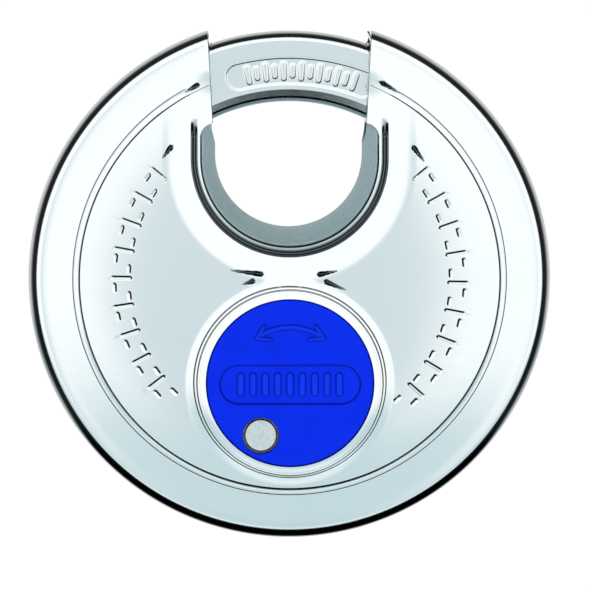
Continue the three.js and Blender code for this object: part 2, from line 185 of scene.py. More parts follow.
def join_parts(parts):
    points, faces, normals = [], [], []
    base = 0
    for part_points, part_faces, part_normals in parts:
        points.append(part_points)
        normals.append(part_normals)
        faces += [tuple(int(i) + base for i in f) for f in part_faces]
        base += len(part_points)
    return np.concatenate(points), faces, np.concatenate(normals)


WELD_GAP = 0.0005


def weld(points, faces):
    """Points that lie together made one, and the faces and kept corners that are left."""
    keys = np.round(points / WELD_GAP).astype(np.int64)
    _, first, back = np.unique(keys, axis=0, return_index=True, return_inverse=True)
    back = back.reshape(-1)
    kept_faces, kept_corners = [], []
    for face in faces:
        ids, corners = [], []
        for corner in face:
            if back[corner] not in ids:
                ids.append(int(back[corner]))
                corners.append(corner)
        if len(ids) > 2:
            kept_faces.append(tuple(ids))
            kept_corners.append(corners)
    return points[first], kept_faces, kept_corners


def thickened(points, faces, corner_normals, thickness):
    """The surface with an inner side, and walls between the two along its open edges."""
    mean = np.zeros_like(points)
    np.add.at(mean, [i for face in faces for i in face], np.array(corner_normals))
    inner = points - unit(mean) * thickness
    reach = np.hypot(inner[:, 0], inner[:, 2])
    inner[:, [0, 2]] *= np.minimum(1, (BODY_R - thickness) / np.maximum(reach, TINY))[:, None]
    count = len(points)
    sides = {(f[i], f[(i + 1) % len(f)]) for f in faces for i in range(len(f))}
    walls = [(b, a, a + count, b + count) for a, b in sides if (b, a) not in sides]
    inner_faces = [tuple(i + count for i in reversed(f)) for f in faces]
    inner_normals = []
    start = 0
    for face in faces:
        inner_normals += [-normal for normal in reversed(corner_normals[start:start + len(face)])]
        start += len(face)
    both = np.concatenate([points, inner])
    wall_normals = []
    for a, b, c, _ in walls:
        flat = np.cross(both[b] - both[a], both[c] - both[a])
        wall_normals += [flat / max(np.linalg.norm(flat), TINY)] * 4
    return both, faces + inner_faces + walls, corner_normals + inner_normals + wall_normals


def skin_mesh(name, parts, thickness=0.0):
    """Strips and patches welded into one surface, given an inner side if thickness is set."""
    points, faces, normals = join_parts(parts)
    points, faces, corners = weld(points, faces)
    corner_normals = [normals[c] for face in corners for c in face]
    if thickness:
        points, faces, corner_normals = thickened(points, faces, corner_normals, thickness)
    return make_mesh(name, points, faces, corner_normals)


def finish_piece(piece, body, material, nodes=()):
    piece.data.materials.clear()
    piece.data.materials.append(material)
    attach(piece, body)
    if nodes:
        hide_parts(*nodes)
    return piece


def painted_light_attribute(piece, name, shade):
    """A value at each vertex, worked out from where the vertex lies, that the material reads as painted shade or
    painted highlight.
    """
    mesh = piece.data
    coords = np.empty(len(mesh.vertices) * 3)
    mesh.vertices.foreach_get("co", coords)
    coords = coords.reshape(-1, 3) / MM
    values = shade(coords[:, 0], coords[:, 1], coords[:, 2] - DISC_Z / MM)
    attribute = mesh.attributes.new(name, "FLOAT", "POINT")
    attribute.data.foreach_set("value", clamp(values).astype(np.float32))


def turned_out(points, faces, normals):
    """Faces with the ones that look against their normals turned over."""
    faces = np.array(faces)
    a, b, c = (points[faces[:, i]] for i in range(3))
    facing = np.einsum("ij,ij->i", np.cross(b - a, c - a), normals[faces].mean(axis=1))
    faces[facing < 0] = faces[facing < 0][:, ::-1]
    return faces.tolist()


def grid_mesh(rows, row_normals, closed=False):
    """Quads between rows of equal length; closed joins each row's ends."""
    count = len(rows[0])
    faces = []
    for i in range(len(rows) - 1):
        for j in range(count if closed else count - 1):
            here, there = i * count + j, i * count + (j + 1) % count
            faces.append((here, there, there + count, here + count))
    points, normals = np.concatenate(rows), np.concatenate(row_normals)
    return points, turned_out(points, faces, normals), normals


def turned_rows(profile, turns, centre_z=0.0):
    """Rows about the Y axis, from (radius, y, radial part of the normal, its y part) corners."""
    rows, row_normals = [], []
    for radius, y, out, along in profile:
        rows.append(columns(radius * np.cos(turns), y, centre_z + radius * np.sin(turns)))
        row_normals.append(unit(columns(out * np.cos(turns), along, out * np.sin(turns))))
    return rows, row_normals


def whole_turn(count):
    return np.arange(count) / count * 2 * math.pi


def lathe_strip(profile, centre_z, count):
    return grid_mesh(*turned_rows(profile, whole_turn(count), centre_z), closed=True)


def end_cap(rows, end, degrees):
    """A flat fan over one end of a closed set of rows, looking along an angle in the disc's plane."""
    ring = np.array([row[end] for row in rows[:-1]])
    points = np.concatenate([ring, ring.mean(axis=0)[None]])
    across, up = polar(1, degrees)
    normals = np.tile([across, 0, up], (len(points), 1))
    fan = [(i, (i + 1) % len(ring), len(ring)) for i in range(len(ring))]
    return points, turned_out(points, fan, normals), normals


# ---------------------------------------------------------------- strokes cut into the face
# taper is the share of its width and depth that a stroke loses by its end
Stroke = collections.namedtuple("Stroke", "start end half cut taper")

MARK_R = 22.5
MARK_LONG = 2.3
MARK_SHORT = 0.7
MARK_OFFSET = 0.95  # short strokes lie this far in or out from the arc's middle
MARK_HALF_WIDTH = 0.36
MARK_CUT = 0.13
MARK_COUNT = 27
MARK_ARCS = ((141, 224), (39, -48))


def engraved_marks():
    """Plain strokes in two arcs: a long one along the radius, then two short ones across it."""
    marks = []
    for first, last in MARK_ARCS:
        for i, angle in enumerate(np.linspace(first, last, MARK_COUNT)):
            middle = polar(MARK_R + (0, MARK_OFFSET, -MARK_OFFSET)[i % 3], angle)
            reach = polar(MARK_SHORT / 2, angle + 90) if i % 3 else polar(MARK_LONG / 2, angle)
            marks.append(Stroke(middle - reach, middle + reach, MARK_HALF_WIDTH, MARK_CUT, 0))
    return marks


CREASE_HALF = 0.42
CREASE_CUT = 0.21
CREASE_TAPER = 0.7


def crease(start, end):
    return Stroke(np.array(start), np.array(end), CREASE_HALF, CREASE_CUT, CREASE_TAPER)


# wide end first: where the notch's shoulder meets the boss, where it meets the dome, and where it
# runs out at the step
CREASES = [
    crease((-3.9, 0.8), (-7.9, 1.3)),
    crease((-5.0, -0.15), (-6.3, -0.6)),
    crease((4.0, 0.75), (6.3, 1.2)),
    crease((4.9, -0.25), (7.4, -1.35)),
    crease((-15.9, 17.7), (-17.0, 16.3)),
    crease((16.6, 17.6), (17.9, 15.9)),
    crease((-12.4, 25.9), (-13.9, 25.1)),
    crease((12.4, 26.2), (14.6, 25.0)),
]


def stroke_place(x, z, start, end):
    """How far along a stroke each place lies, from 0 to 1, and how far away from it."""
    axis = end - start
    along = ((x - start[0]) * axis[0] + (z - start[1]) * axis[1]) / (axis @ axis)
    along = clamp(along)
    return along, np.hypot(x - start[0] - along * axis[0], z - start[1] - along * axis[1])


def stroke_share(x, z, stroke):
    """Share of a stroke's full depth: a V with sloping ends."""
    along, away = stroke_place(x, z, stroke.start, stroke.end)
    left = 1 - stroke.taper * along
    return left * clamp(1 - away / (stroke.half * left))


STROKE_PITCH = 0.13
STROKE_MARGIN = 0.1
STROKE_ROWS = 13


def stroke_grid(stroke):
    """Close rows of points along a stroke and a little past it."""
    length = np.hypot(*(stroke.end - stroke.start))
    axis = (stroke.end - stroke.start) / length
    side = np.array([-axis[1], axis[0]])
    reach = stroke.half + STROKE_MARGIN
    along = np.arange(-reach, length + reach + 0.02, STROKE_PITCH)
    across = np.linspace(-reach, reach, STROKE_ROWS)
    along, across = (g.ravel()[:, None] for g in np.meshgrid(along, across))
    return stroke.start + along * axis + across * side


# ---------------------------------------------------------------- the face as a height function
EASE_END = 0.22


def ease(t):
    """0 to 1 with a straight middle and short rounded ends."""
    t = clamp(t)
    body = (t - EASE_END / 2) / (1 - EASE_END)
    round_off = 2 * EASE_END * (1 - EASE_END)
    end = np.where(t > 1 - EASE_END, 1 - (1 - t) ** 2 / round_off, body)
    return np.where(t < EASE_END, t * t / round_off, end)


def two_steps(t, share, first, middle, bend=1.0):
    """0 to 1 by two sharp steps, with a slope between them that rises by the middle's part."""
    return (
        first * ease(t / share)
        + middle * clamp((t - share) / (1 - 2 * share)) ** bend
        + (1 - first - middle) * ease((t - 1 + share) / share)
    )


def notch_distance(x, z):
    """Distance from the notch's centre line: a point low down, a vertical line above it."""
    return np.where(z < NOTCH_Z, np.hypot(x, z - NOTCH_Z), np.abs(x))


def mouth_half(z):
    """Half-width of the mouth between the shell's two horns."""
    share = clamp((z - TAB_Z) / (BODY_R - 2 - TAB_Z))
    return MOUTH_LOW + (MOUTH_HIGH - MOUTH_LOW) * share


def rim_radius(reach):
    """Radius of a point of the unrolled face, whose rim is rolled back."""
    turn = np.clip((reach - RIM_FLAT_R) / RIM_ROUND, 0, QUARTER)
    return np.where(reach > RIM_FLAT_R, RIM_FLAT_R + RIM_ROUND * np.sin(turn), reach)


NORMAL_STEP = 0.01


class Face:
    """One side of the case. side is -1 for the front and +1 for the back."""

    def __init__(self, side):
        self.side = side
        self.front = side < 0
        self.plateau = PLATEAU_DEPTH if self.front else BACK_DEPTH
        self.middle = DOME_DEPTH if self.front else BACK_DEPTH
        self.marks = engraved_marks() + CREASES if self.front else []

    def ring_depth(self, r):
        across = clamp((RIM_FLAT_R - r) / (RIM_FLAT_R - STEP_OUTER_R))
        return RING_DEPTH + RING_RISE * across

    def disc_depth(self, r):
        across = (STEP_OUTER_R - r) / (STEP_OUTER_R - STEP_INNER_R)
        step = two_steps(across, STEP_SHARE, STEP_FIRST, STEP_MIDDLE, STEP_BEND)
        fall = (self.middle - self.plateau) * clamp(r / STEP_INNER_R) ** DOME_BEND
        base = self.ring_depth(r)
        return base + (self.middle - fall - base) * step

    def depth(self, x, z):
        """Depth of the face over a point within the rim's flat part."""
        r = np.hypot(x, z)
        w = notch_distance(x, z)
        inside = self.disc_depth(r)
        base = np.maximum(self.ring_depth(r), inside - SHOULDER_RISE)
        across = clamp((w - SHOULDER_R) / (SHOULDER_END_R - SHOULDER_R))
        rise = 1 - (1 - across) ** SHOULDER_BEND
        slope = LIP_SLOPE * clamp((LIP_FADE_Z - z) / LIP_FADE)
        depth = base + (inside - base) * rise - slope * np.clip(SHOULDER_R - w, 0, None)
        fade = clamp((GROOVE_TOP_Z - z) / GROOVE_FADE)
        depth = depth - GROOVE_CUT * fade * clamp(1 - np.abs(w - GROOVE_R) / GROOVE_HALF)
        if self.front:
            depth = self.with_boss(x, z, depth)
        for mark in self.marks:
            depth = depth - mark.cut * stroke_share(x, z, mark)
        return depth

    def with_boss(self, x, z, depth):
        """The sloping ring round the cover and its hollow foot."""
        rb = np.hypot(x, z - BOSS_Z)
        ring = BOSS_DEPTH - BOSS_SLOPE * np.clip(rb - BOSS_BORE_R, 0, None)
        edge_depth = BOSS_DEPTH - BOSS_SLOPE * (BOSS_TOP_R - BOSS_BORE_R)
        across = (rb - BOSS_TOP_R) / (BOSS_WALL_R - BOSS_TOP_R)
        down = two_steps(across, BOSS_STEP_SHARE, BOSS_STEP_FIRST, BOSS_STEP_MIDDLE)
        wall = edge_depth + (depth + BOSS_FILLET - edge_depth) * down
        t = clamp((rb - BOSS_WALL_R) / (BOSS_FOOT_R - BOSS_WALL_R))
        foot = depth + BOSS_FILLET * (1 - t) ** BOSS_FILLET_BEND
        low = np.where(rb < BOSS_WALL_R, wall, np.where(rb < BOSS_FOOT_R, foot, depth))
        return np.where(rb < BOSS_TOP_R, ring, low)

    def surface(self, u, v):
        """3-D points for points of the unrolled face, where the rim carries on flat past its edge."""
        reach = np.hypot(u, v)
        over = np.clip(reach - RIM_FLAT_R, 0, None)
        turn = np.clip(over / RIM_ROUND, 0, QUARTER)
        drop = RIM_ROUND * (1 - np.cos(turn)) + np.clip(over - RIM_ARC, 0, None)
        scale = rim_radius(reach) / np.maximum(reach, TINY)
        x, z = u * scale, v * scale
        depth = np.where(over > 0, RING_DEPTH - drop, self.depth(x, z))
        return columns(x, self.side * depth, z)

    def normals(self, u, v):
        du = self.surface(u + NORMAL_STEP, v) - self.surface(u - NORMAL_STEP, v)
        dv = self.surface(u, v + NORMAL_STEP) - self.surface(u, v - NORMAL_STEP)
        n = np.cross(du, dv)
        n *= np.sign(n[:, 1:2] * self.side + TINY)
        steep = np.hypot(u, v) > RIM_FLAT_R + RIM_ARC - 2 * NORMAL_STEP
        n[steep] = columns(u, 0, v)[steep]
        return unit(n)


# ---------------------------------------------------------------- triangulating the face
LIP_PITCH = 0.35
LINE_PITCH = 0.42
LINE_TOP_Z = 27.3  # the lines beside the notch end at this height
RING_COUNT = 300
RIM_COUNT = 330
BOSS_COUNT = 220
LINE_CLEAR = 0.035  # loose points keep this far from the lines
LINE_MARGIN = 0.1  # lines stop this far inside the face's edges
GRID_REACH = 27
GRID_PITCH = 0.95
GRID_MARGIN = 0.12
GRID_CLEAR = 0.3  # the grid keeps this far from the shoulder and the strokes
LEAST_GAP = 0.03

# where constrained lines run: circles about the disc's centre, circles about the boss, and Us
RING_LINES = (32.0, 30.6, 29.6, 27.4)
STEP_LINES = tuple(
    STEP_OUTER_R - t * (STEP_OUTER_R - STEP_INNER_R)
    for t in (-0.04, 0, 0.05, 0.1, 0.15, 0.2, 0.5, 0.8, 0.85, 0.9, 0.95, 1.0, 1.05)
)
BOSS_LINES = (
    11.7, 12.1, 12.33, BOSS_TOP_R, 12.433, 12.466, 12.5, 12.55, 12.65, 12.75, 12.8, 12.833, 12.866,
    BOSS_WALL_R, 12.97, 13.1, 13.3, 13.55, 13.8, BOSS_FOOT_R, 14.5,
)
NOTCH_LINES = (
    12.15, LIP_END_R, 12.34, 12.45, 12.6, 12.75, 12.9, 13.05, 13.16, SHOULDER_R, 13.24, 13.4, 13.7,
    14.1, 14.5, 14.85, 15.2, 15.6, 16.0, 16.5, SHOULDER_END_R,
)


def ring_points(radius, count, centre_z=0.0):
    return circle(radius, whole_turn(count), centre_z)


def notch_curve(w, top_z, spacing):
    """A U at distance w from the notch's centre line, from the left side round to the right."""
    turn = np.linspace(math.pi, 2 * math.pi, max(8, int(math.pi * w / spacing)))
    rise = np.arange(NOTCH_Z + spacing, top_z, spacing)
    return np.concatenate([columns(-w, rise[::-1]), circle(w, turn, NOTCH_Z), columns(w, rise)])


def mouth_path(side_x):
    """The unrolled face's edge along one side of the mouth, from the tab's foot to the seam."""
    foot = np.array([LIP_R, TAB_FOOT_Z])
    bend = np.array([LIP_R - 0.25, TAB_Z - 0.35])
    corner = np.array([MOUTH_LOW, TAB_Z])
    points = []
    for t in np.linspace(0, 1, 9)[:-1]:
        points.append((1 - t) ** 2 * foot + 2 * t * (1 - t) * bend + t * t * corner)
    for z in np.linspace(TAB_Z, math.sqrt(RIM_FLAT_R**2 - MOUTH_RIM_X**2), 26):
        points.append(np.array([float(mouth_half(z)), z]))
    for reach in RIM_REACHES[1:]:
        r = float(rim_radius(reach))
        angle = math.asin(min(float(mouth_half(r * MOUTH_RIM_SHARE)) / r, 1))
        points.append(np.array([reach * math.sin(angle), reach * math.cos(angle)]))
    return np.array(points) * (side_x, 1)


def inside_face(points, front, margin):
    """Whether unrolled points are on the face, at least margin inside its edges."""
    u, v = points[:, 0], points[:, 1]
    reach = np.hypot(u, v)
    r = rim_radius(reach)
    x = u * r / np.maximum(reach, TINY)
    z = v * r / np.maximum(reach, TINY)
    edge = mouth_half(np.where(reach > RIM_FLAT_R, r * MOUTH_RIM_SHARE, z))
    tab = clamp((z - TAB_FOOT_Z) / (TAB_Z - TAB_FOOT_Z))
    low_edge = LIP_R - (LIP_R - MOUTH_LOW) * np.where(tab > 0, 1 - np.sqrt(1 - tab**2 * 0.999), 0)
    edge = np.where(z > TAB_Z, edge, low_edge)
    notch = (notch_distance(x, z) < edge + margin) & (z > NOTCH_Z - LIP_R - margin - 1)
    ok = ~notch & (reach < RIM_END - margin)
    if front:
        ok &= np.hypot(u, v - BOSS_Z) > BOSS_BORE_R + margin
    return ok


def off_lines(points, front):
    """Whether points keep clear of every constrained line inside the rim."""
    x, z = points[:, 0], points[:, 1]
    groups = [
        (np.hypot(x, z), RING_LINES + STEP_LINES),
        (notch_distance(x, z), NOTCH_LINES),
    ]
    if front:
        groups.append((np.hypot(x, z - BOSS_Z), BOSS_LINES))
    free = np.ones(len(points), bool)
    for away, places in groups:
        for place in places:
            free &= np.abs(away - place) > LINE_CLEAR
    return free


def thin_out(points, gap):
    """Points with any that share a cell of the given size left out, so that none lie together."""
    cells = np.round(points / gap).astype(np.int64)
    _, first = np.unique(cells, axis=0, return_index=True)
    return points[np.sort(first)]


def face_lines(front):
    lines = [ring_points(reach, RIM_COUNT) for reach in RIM_REACHES[:-1]]
    lines += [ring_points(r, RING_COUNT) for r in RING_LINES]
    lines += [ring_points(r, RIM_COUNT) for r in STEP_LINES]
    if front:
        lines += [ring_points(r, BOSS_COUNT, BOSS_Z) for r in BOSS_LINES]
    lines = [np.concatenate([line, line[:1]]) for line in lines]
    return lines + [notch_curve(w, LINE_TOP_Z, LINE_PITCH) for w in NOTCH_LINES]


def loose_points(face):
    """A triangular grid on the dome, and close rows along every stroke."""
    across = np.arange(-GRID_REACH, GRID_REACH + 0.1, GRID_PITCH)
    up = np.arange(-GRID_REACH, GRID_REACH + 0.1, GRID_PITCH * 0.866)
    x, z = np.meshgrid(across, up)
    x = x + (np.arange(len(x)) % 2)[:, None] * GRID_PITCH / 2
    x, z = x.ravel(), z.ravel()
    keep = (np.hypot(x, z) < GRID_REACH - 0.2) & (notch_distance(x, z) > SHOULDER_END_R + GRID_CLEAR)
    if face.front:
        keep &= np.hypot(x, z - BOSS_Z) > BOSS_LINES[-1] + 0.5
    grid = columns(x, z)[keep]
    for mark in face.marks:
        away = stroke_place(grid[:, 0], grid[:, 1], mark.start, mark.end)[1]
        grid = grid[away > mark.half + GRID_CLEAR]
    grid = np.concatenate([grid] + [stroke_grid(mark) for mark in face.marks])
    grid = thin_out(grid[inside_face(grid, face.front, GRID_MARGIN)], LEAST_GAP)
    return grid[off_lines(grid, face.front)]


def triangulate(loops, lines, loose, front=True):
    """Flat points, and triangles that keep the edges of loops and of lines on the face."""
    coords, edges = [], []
    for ring in loops:
        base = len(coords)
        coords += [Vector(p) for p in ring]
        edges += [(base + i, base + (i + 1) % len(ring)) for i in range(len(ring))]
    for line in lines:
        on_face = inside_face(line, front, LINE_MARGIN)
        base = len(coords)
        coords += [Vector(p) for p in line]
        edges += [
            (base + i, base + i + 1) for i in range(len(line) - 1) if on_face[i] and on_face[i + 1]
        ]
    coords += [Vector(p) for p in loose]
    verts, _, faces, _, _, _ = delaunay_2d_cdt(coords, edges, [], 0, 1e-6, False)
    flat = np.array([(p.x, p.y) for p in verts])
    return flat, np.array([(f[0], f[i], f[i + 1]) for f in faces for i in range(1, len(f) - 1)])


def used_only(flat, faces):
    """Points that a face uses, and the faces renumbered."""
    used, faces = np.unique(faces, return_inverse=True)
    return flat[used], faces.reshape(-1, 3)


def face_skin(face, left, right, lip):
    """The outer skin of one side, between its mouth edges and its lip, out to the seam."""
    rim_start = math.atan2(right[-1][1], right[-1][0])
    rim_end = math.atan2(left[-1][1], left[-1][0]) - 2 * math.pi
    turns = np.linspace(rim_start, rim_end, RIM_COUNT)[1:-1]
    loops = [np.concatenate([lip, right, circle(RIM_END, turns), left[::-1]])]
    if face.front:
        loops.append(ring_points(BOSS_BORE_R, BORE_COUNT, BOSS_Z))
    flat, faces = triangulate(loops, face_lines(face.front), loose_points(face), face.front)
    faces = faces[inside_face(flat[faces].mean(axis=1), face.front, 0.0)]
    flat, faces = used_only(flat, faces)
    points = face.surface(flat[:, 0], flat[:, 1])
    normals = face.normals(flat[:, 0], flat[:, 1])
    return points, turned_out(points, faces, normals), normals


# ---------------------------------------------------------------- the shells
MOUTH_EDGE = 0.14
LIP_EDGE = 0.1
LIP_TURN_IN = 0.9
BORE_EDGE = 0.09
# painted shade in the steel's base colour: groove, lip low down, wall under the lip and creases
LIP_SHADE = 0.6  # how dark the lip is at the bottom of the notch
GROOVE_SHADE = 0.9
SHADE_FADE = 1.2  # the groove's dark fades over this height
SHADE_EDGE = 0.12
CREASE_SHADE = 2.5  # how fast a crease darkens from its edge inwards


def rolled_rows(surface, normals, toward, edge, count):
    """Rows that roll a surface's edge over by a quarter turn, from its normals to a direction."""
    rows, row_normals = [], []
    for turn in np.linspace(0, QUARTER, count):
        rows.append(surface + toward * edge * math.sin(turn) - normals * edge * (1 - math.cos(turn)))
        row_normals.append(unit(normals * math.cos(turn) + toward * math.sin(turn)))
    return rows, row_normals


def wall_strip(face, path):
    """The shell's edge along the mouth: rounded over, then straight in beside the shackle."""
    surface = face.surface(path[:, 0], path[:, 1])
    toward = np.zeros_like(surface)
    toward[:, 0] = -np.sign(path[:, 0].mean())
    inner = surface.copy()
    inner[:, 1] = face.side * np.minimum(np.abs(surface[:, 1]), APERTURE_HALF)
    inner[:, 2] *= np.minimum(APERTURE_R / np.hypot(surface[:, 0], surface[:, 2]), 1)
    normals = face.normals(path[:, 0], path[:, 1])
    rows, row_normals = rolled_rows(surface, normals, toward, MOUTH_EDGE, 5)
    return grid_mesh(rows + [inner + toward * MOUTH_EDGE], row_normals + [toward])


def lip_strip(face, lip):
    """The rolled edge of the shell round the bottom of the notch, turned in over the liner."""
    surface = face.surface(lip[:, 0], lip[:, 1])
    toward = unit(columns(0, surface[:, 1], np.maximum(lip[:, 1], NOTCH_Z)) - surface)
    rows, row_normals = rolled_rows(
        surface, face.normals(lip[:, 0], lip[:, 1]), toward, LIP_EDGE, 4
    )
    last = rows[-1] - (0, face.side * LIP_TURN_IN, 0)
    return grid_mesh(rows + [last], row_normals + [toward])


def boss_bore():
    """The rounded edge and the wall of the bore that holds the cover."""
    bore = BOSS_BORE_R
    return lathe_strip([
        (bore, -BOSS_DEPTH, 0, -1),
        (bore - BORE_EDGE * 2 / 3, BORE_EDGE / 3 - BOSS_DEPTH, -1, -1),
        (bore - BORE_EDGE, 0.1 - BOSS_DEPTH, -1, 0),
        (bore - BORE_EDGE, -BOSS_LIP_END, -1, 0),
    ], BOSS_Z, BORE_COUNT)


def groove_shade(x, depth, z):
    """Painted shade: how dark the groove, the lip low down, the wall under the lip and the creases are painted."""
    w = notch_distance(x, z)
    fade = clamp((GROOVE_TOP_Z - z) / SHADE_FADE)
    groove = clamp((GROOVE_HALF - np.abs(w - GROOVE_R)) / SHADE_EDGE) * fade
    lip = clamp((NOTCH_Z - z) / LIP_R) * (w < LIP_END_R + 0.05)
    groove = np.maximum(GROOVE_SHADE * groove, LIP_SHADE * lip)
    under_lip = (w < LIP_R - 0.05) & (z < TAB_FOOT_Z)
    shade = np.where(under_lip, 1.0, groove) * (np.hypot(x, z - BOSS_Z) > BOSS_FOOT_R)
    for mark in CREASES:
        shade = np.maximum(shade, clamp(CREASE_SHADE * stroke_share(x, z, mark)) * (depth < 0))
    return shade


def shell_piece(name, side, material, node):
    face = Face(side)
    left, right = mouth_path(-1), mouth_path(1)
    lip = notch_curve(LIP_R, TAB_FOOT_Z, LIP_PITCH)
    parts = [
        face_skin(face, left, right, lip),
        wall_strip(face, left),
        wall_strip(face, right),
        lip_strip(face, lip),
    ]
    if face.front:
        parts.append(boss_bore())
    piece = skin_mesh(name, parts, SHEET)
    # painted shade in the groove, on the lip low down, under the lip and in the creases
    painted_light_attribute(piece, "painted_shade", groove_shade)
    return finish_piece(piece, "case", material, [node])


BEAD_TURNS = (109.2, 430.8)  # from the mouth's left side round below to its right side
BEAD_R = 34.78
BEAD_INNER_R = 33.9
BEAD_HALF = 0.7
BEAD_COUNT = 360
RIPPLE = 0.03
RIPPLE_COUNT = 150


def seam_bead(material):
    """Rounded bead that closes the seam between the two shells."""
    turns = np.radians(np.linspace(*BEAD_TURNS, BEAD_COUNT))
    outer = BEAD_R + RIPPLE * np.sin(turns * RIPPLE_COUNT)
    crown = [
        (0.5, BEAD_HALF, 0.3, 1.0), (0.15, 0.4, 0.7, 0.7), (0.03, 0.2, 1.0, 0.3), (0.0, 0.0, 1.0, 0.0),
    ]
    section = [(BEAD_INNER_R, -BEAD_HALF, 0.0, -1.0)]
    section += [(outer - drop, -y, out, -along) for drop, y, out, along in crown]
    section += [(outer - drop, y, out, along) for drop, y, out, along in reversed(crown[:-1])]
    section += [
        (BEAD_INNER_R, BEAD_HALF, 0.0, 1.0),
        (BEAD_INNER_R, BEAD_HALF, -1.0, 0.0),
        (BEAD_INNER_R, -BEAD_HALF, -1.0, 0.0),
    ]
    rows, row_normals = turned_rows(section, turns)
    piece = skin_mesh("seam_bead", [
        grid_mesh(rows, row_normals),
        end_cap(rows, 0, BEAD_TURNS[0] - 90),
        end_cap(rows, -1, BEAD_TURNS[1] + 90),
    ])
    return finish_piece(piece, "case", material)


# ---------------------------------------------------------------- shackle
SHACKLE_TAIL = 3
SHACKLE_TRAVEL = joints["shackle_turn"]["range_deg"][1]
SHACKLE_TIP_X = 10.6  # where the tip's flat end lies when the shackle is open
SHACKLE_EDGE = 1.4  # rounding of its outer edges
SHACKLE_BEVEL_R = 25.15  # where the inner bevel starts on the flat front
BEVEL_WIDTH = 0.85
BEVEL_DROP = 0.26
BEVEL_TURN = 0.205 * QUARTER  # tilt of the inner bevel
INNER_DROP = 1.6  # the inner edge's rounding reaches this far down
PANEL_LOW_R = 25.9
PANEL_HIGH_R = 29.3
PANEL_R = (PANEL_LOW_R + PANEL_HIGH_R) / 2
PANEL_HALF = (PANEL_HIGH_R - PANEL_LOW_R) / 2
PANEL_TURNS = (65.5, 107.6)  # angles where the panel's round ends reach
PANEL_CUT = 0.11
PANEL_RAMP = 0.4
BAR_COUNT = 13
BAR_HALF = 0.36
BAR_TURNS = (71.5, 101.5)
BAR_REACHES = (0.95, 0.6)  # long and short bars, by turns
RELIEF_STEP = 0.02
# start, end and count of each run of places along the bar, closest under the panel
BAR_RUNS = ((0, 0.44, 50), (0.44, 0.87, 330), (0.87, 1, 30))


def shackle_section():
    """Half of the section, from the middle of the outside to the middle of the inside."""
    outline = [(SHACKLE_OUTER_R, 0.0, 1.0, 0.0), (SHACKLE_OUTER_R, SHACKLE_HALF - 2, 1.0, 0.0)]
    for turn in np.linspace(0, QUARTER, 9):
        outline.append((
            SHACKLE_OUTER_R - SHACKLE_EDGE * (1 - math.cos(turn)),
            SHACKLE_HALF - SHACKLE_EDGE * (1 - math.sin(turn)),
            math.cos(turn),
            math.sin(turn),
        ))
    above = np.linspace(SHACKLE_OUTER_R - SHACKLE_EDGE, PANEL_HIGH_R + 0.15, 8)[1:]
    within = np.linspace(PANEL_HIGH_R + 0.15, PANEL_LOW_R - 0.25, 40)[1:]
    outline += [(r, SHACKLE_HALF, 0.0, 1.0) for r in (*above, *within, SHACKLE_BEVEL_R)]
    lean, rise = math.sin(BEVEL_TURN), math.cos(BEVEL_TURN)
    corner_r, corner_y = SHACKLE_BEVEL_R - BEVEL_WIDTH, SHACKLE_HALF - BEVEL_DROP
    outline.append((SHACKLE_BEVEL_R, SHACKLE_HALF, -lean, rise))
    for turn in np.linspace(BEVEL_TURN, QUARTER, 10):
        across = (math.sin(turn) - lean) / (1 - lean)
        down = (rise - math.cos(turn)) / rise
        outline.append((
            corner_r - (corner_r - SHACKLE_INNER_R) * across,
            corner_y - INNER_DROP * down,
            -math.sin(turn),
            math.cos(turn),
        ))
    outline.append((SHACKLE_INNER_R, 0.0, -1.0, 0.0))
    return outline


def panel_relief(r, degrees):
    """Depth cut into the shackle's front: a shallow panel with a row of plain raised bars."""
    along = np.radians(degrees) * PANEL_R
    low = math.radians(PANEL_TURNS[0]) * PANEL_R + PANEL_HALF
    high = math.radians(PANEL_TURNS[1]) * PANEL_R - PANEL_HALF
    inside = PANEL_HALF - np.hypot(along - np.clip(along, low, high), r - PANEL_R)
    cut = PANEL_CUT * ease((inside + PANEL_RAMP / 2) / PANEL_RAMP)
    for bar, place in enumerate(np.linspace(*BAR_TURNS, BAR_COUNT)):
        over = np.clip(np.abs(r - PANEL_R) - BAR_REACHES[bar % 2], 0, None)
        away = np.hypot(over, np.radians(degrees - place) * PANEL_R)
        cut = cut - PANEL_CUT * ease((BAR_HALF + PANEL_RAMP / 2 - away) / PANEL_RAMP)
    return cut


def shackle_row(r, y, out, along, steps):
    """One line of the bar, from its tail to its tip, with its normals."""
    tip = SHACKLE_TRAVEL + math.degrees(math.acos(SHACKLE_TIP_X / r))
    degrees = SHACKLE_TAIL + (tip - SHACKLE_TAIL) * steps
    turns = np.radians(degrees)
    depth, across = y, 0.0
    if along < 0 and SHACKLE_BEVEL_R < r < SHACKLE_OUTER_R - SHACKLE_EDGE - 0.01:
        h = RELIEF_STEP
        aside = math.degrees(h / r)
        depth = y + panel_relief(r, degrees)
        out = (panel_relief(r + h, degrees) - panel_relief(r - h, degrees)) / (2 * h)
        across = (panel_relief(r, degrees + aside) - panel_relief(r, degrees - aside)) / (2 * h)
    cos, sin = np.cos(turns), np.sin(turns)
    normals = columns(out * cos - across * sin, along, out * sin + across * cos)
    return columns(r * cos, depth, r * sin), unit(normals)


def shackle_piece(material):
    half = shackle_section()
    section = [(r, -y, out, -along) for r, y, out, along in half]
    section += reversed(half[1:-1])
    section.append(section[0])
    steps = np.unique(np.concatenate([np.linspace(*run) for run in BAR_RUNS]))
    rows, row_normals = zip(*[shackle_row(*corner, steps) for corner in section])
    piece = skin_mesh("shackle_bow", [
        grid_mesh(rows, row_normals),
        end_cap(rows, 0, SHACKLE_TAIL - 90),
        end_cap(rows, -1, SHACKLE_TRAVEL - 180),
    ])
    return finish_piece(piece, "shackle", material, ["shackle"])


# ---------------------------------------------------------------- liner of the notch
LINER_FRONT = 9.2  # depth of the liner's front edge
LINER_EDGE_R = 11.55
LINER_THROAT_R = 9.87
LINER_OUTER_R = 12.05
LINER_TOP_Z = TAB_Z - 0.25
LINER_RISE_COUNT = 13
APERTURE_FOOT_Z = 17.7  # bottom of the arched opening that the shackle passes


